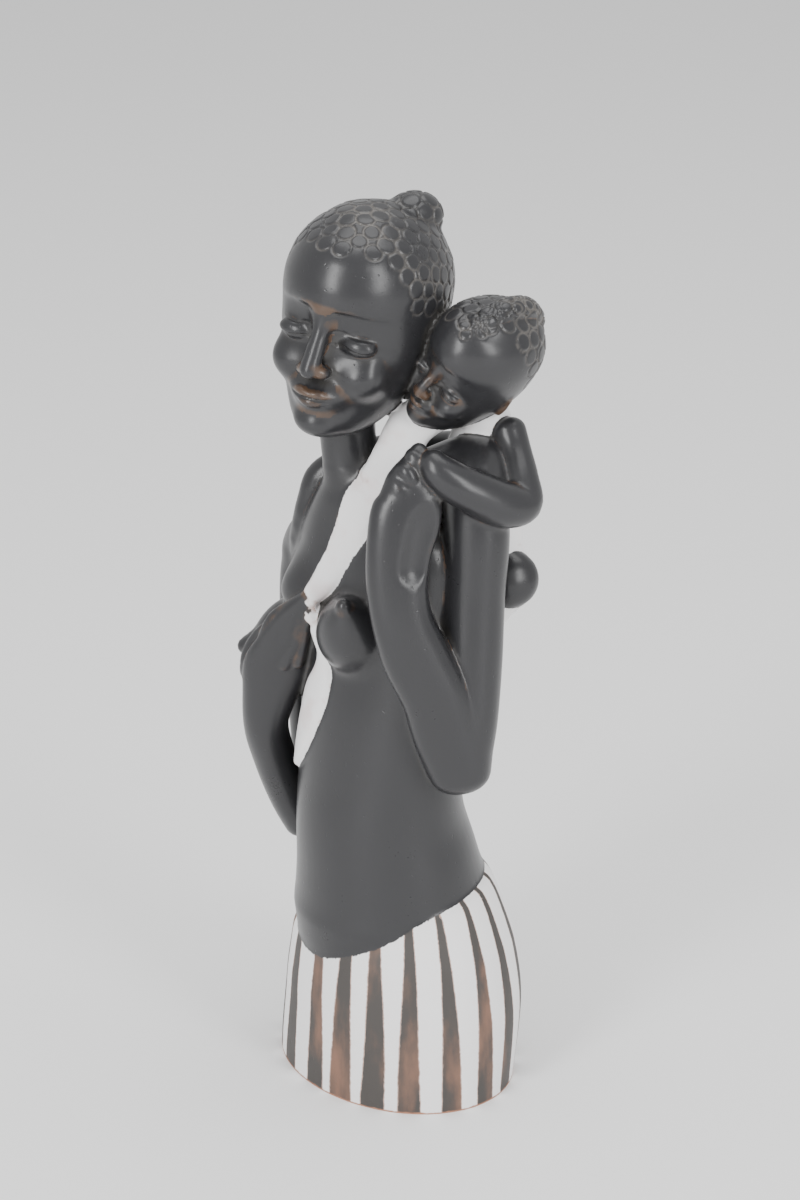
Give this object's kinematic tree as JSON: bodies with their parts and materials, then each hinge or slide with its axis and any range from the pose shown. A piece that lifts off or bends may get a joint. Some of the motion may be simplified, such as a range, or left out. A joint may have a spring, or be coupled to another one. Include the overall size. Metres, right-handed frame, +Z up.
{
  "type": "ceramic maternity sculpture",
  "caption": "Glazed ceramic half-length figure of a mother carrying her child on her back in a sling, flat-bottomed, stands on a shelf or table.",
  "frame": {"origin": "centre of the flat underside, on the surface the figure stands on", "axes": "+Z up, the mother faces -Y, +X towards her left side"},
  "size_m": [0.1267, 0.1002, 0.3636],
  "materials": {
    "glaze": "satin black glaze, with white glaze on the sling and on the skirt between its dark stripes"
  },
  "bodies": {
    "root": {"mother_and_child": "glaze"}
  },
  "joints": []
}
